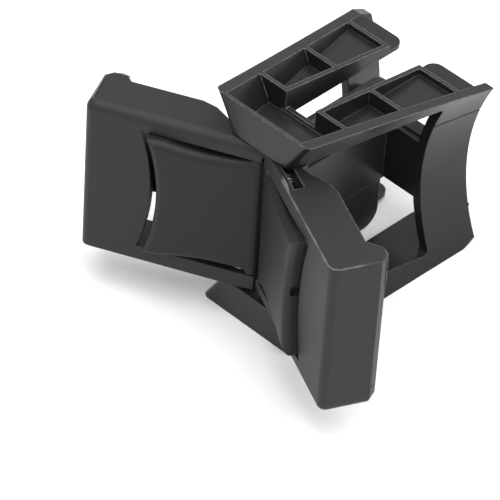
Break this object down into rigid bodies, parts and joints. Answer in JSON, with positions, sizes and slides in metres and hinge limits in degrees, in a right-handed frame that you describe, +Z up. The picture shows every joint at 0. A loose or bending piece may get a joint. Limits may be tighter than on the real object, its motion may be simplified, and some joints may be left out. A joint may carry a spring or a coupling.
{
  "type": "cup holder divider",
  "caption": "Insert that sits between two round cup wells: ribbed frame with concave sides and sprung folding paddles in a V, each with a small sprung flap.",
  "frame": {"origin": "on the ground under the middle of the part's bounding box, the lower tray rim lying flat on z = 0", "axes": "+X from cup to cup, +Y into the console away from the V, +Z up along the hinges, which lean back by 8 degrees"},
  "size_m": [0.067, 0.0582, 0.0467],
  "materials": {
    "frame_plastic": "fine matt black",
    "paddle_plastic": "smooth satin black",
    "flap_plastic": "smooth satin black",
    "pin_steel": "drawn wire",
    "spring_steel": "oiled spring wire"
  },
  "bodies": {
    "frame_body": {"frame": "frame_plastic", "hinge_pin_right": "pin_steel", "hinge_pin_left": "pin_steel", "paddle_spring_right": "spring_steel", "paddle_spring_left": "spring_steel"},
    "paddle_right_body": {"paddle_right": "paddle_plastic", "flap_pin_right": "pin_steel", "flap_spring_right": "spring_steel"},
    "paddle_left_body": {"paddle_left": "paddle_plastic", "flap_pin_left": "pin_steel", "flap_spring_left": "spring_steel"},
    "flap_right_body": {"flap_right": "flap_plastic"},
    "flap_left_body": {"flap_left": "flap_plastic"}
  },
  "joints": [
    {"name": "paddle_right_hinge", "type": "hinge", "parent": "frame_body", "child": "paddle_right_body", "pos_m": [0.00476, -0.01179, 0.02296], "axis": [0, 0.1401, 0.9901], "range_deg": [0, 85], "stiffness_Nm_per_rad": 0.02, "springref_deg": -51.57, "deforming": ["paddle_spring_right"]},
    {"name": "flap_right_hinge", "type": "hinge", "parent": "paddle_right_body", "child": "flap_right_body", "pos_m": [0.0018, -0.01265, 0.02308], "axis": [0, 0.1401, 0.9901], "range_deg": [0, 6], "stiffness_Nm_per_rad": 0.008, "springref_deg": -51.57, "deforming": ["flap_spring_right"]},
    {"name": "paddle_left_hinge", "type": "hinge", "parent": "frame_body", "child": "paddle_left_body", "pos_m": [-0.00476, -0.01179, 0.02296], "axis": [0, -0.1401, -0.9901], "range_deg": [0, 85], "stiffness_Nm_per_rad": 0.02, "springref_deg": -51.57, "deforming": ["paddle_spring_left"]},
    {"name": "flap_left_hinge", "type": "hinge", "parent": "paddle_left_body", "child": "flap_left_body", "pos_m": [-0.0018, -0.01265, 0.02308], "axis": [0, -0.1401, -0.9901], "range_deg": [0, 6], "stiffness_Nm_per_rad": 0.008, "springref_deg": -51.57, "deforming": ["flap_spring_left"]}
  ]
}
